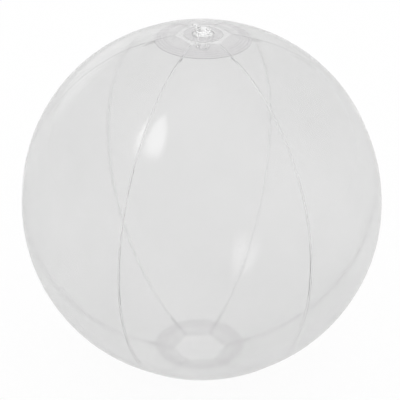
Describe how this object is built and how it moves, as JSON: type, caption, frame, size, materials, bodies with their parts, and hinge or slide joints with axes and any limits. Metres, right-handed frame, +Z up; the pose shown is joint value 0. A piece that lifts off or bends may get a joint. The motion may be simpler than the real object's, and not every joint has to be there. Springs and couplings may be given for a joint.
{
  "type": "inflatable beach ball",
  "caption": "Clear film beach ball of lens-shaped welded gores with a round disc at each pole and a push-in air valve with a strapped plug.",
  "frame": {"origin": "on the ball's polar axis, where the bottom disc touches the ground", "axes": "+Z up the polar axis towards the valve; +X through the first seam between two gores; the plug's strap points at 120 degrees from +X"},
  "size_m": [0.28, 0.28, 0.2835],
  "materials": {
    "gore_film": "hazy clear soft PVC film, glossy",
    "disc_film": "hazy clear soft PVC film, glossy, with an embossed weld ring",
    "valve_vinyl": "translucent soft moulded PVC, glossy",
    "plug_vinyl": "translucent soft moulded PVC, glossy",
    "flap_vinyl": "thin translucent PVC sheet, glossy"
  },
  "bodies": {
    "shell": {"gore_1": "gore_film", "gore_2": "gore_film", "gore_3": "gore_film", "gore_4": "gore_film", "gore_5": "gore_film", "gore_6": "gore_film", "top_disc": "disc_film", "bottom_disc": "disc_film", "valve_flange": "valve_vinyl", "valve_skirt": "valve_vinyl"},
    "valve": {"valve_stem": "valve_vinyl"},
    "plug": {"valve_plug": "plug_vinyl", "plug_strap": "plug_vinyl"},
    "flap": {"non_return_flap": "flap_vinyl"}
  },
  "joints": [
    {"name": "valve_slide", "type": "slide", "parent": "shell", "child": "valve", "axis": [0, 0, 1], "range_m": [0, 0.011], "deforming": ["valve_skirt"]},
    {"name": "plug_hinge", "type": "hinge", "parent": "valve", "child": "plug", "pos_m": [-0.006, 0.01039, 0.28185], "axis": [-0.866, -0.5, 0], "range_deg": [0, 140]},
    {"name": "flap_hinge", "type": "hinge", "parent": "valve", "child": "flap", "pos_m": [0.00245, -0.00424, 0.26865], "axis": [-0.866, -0.5, 0], "range_deg": [0, 35], "stiffness_Nm_per_rad": 0.00002, "springref_deg": -20.05}
  ]
}
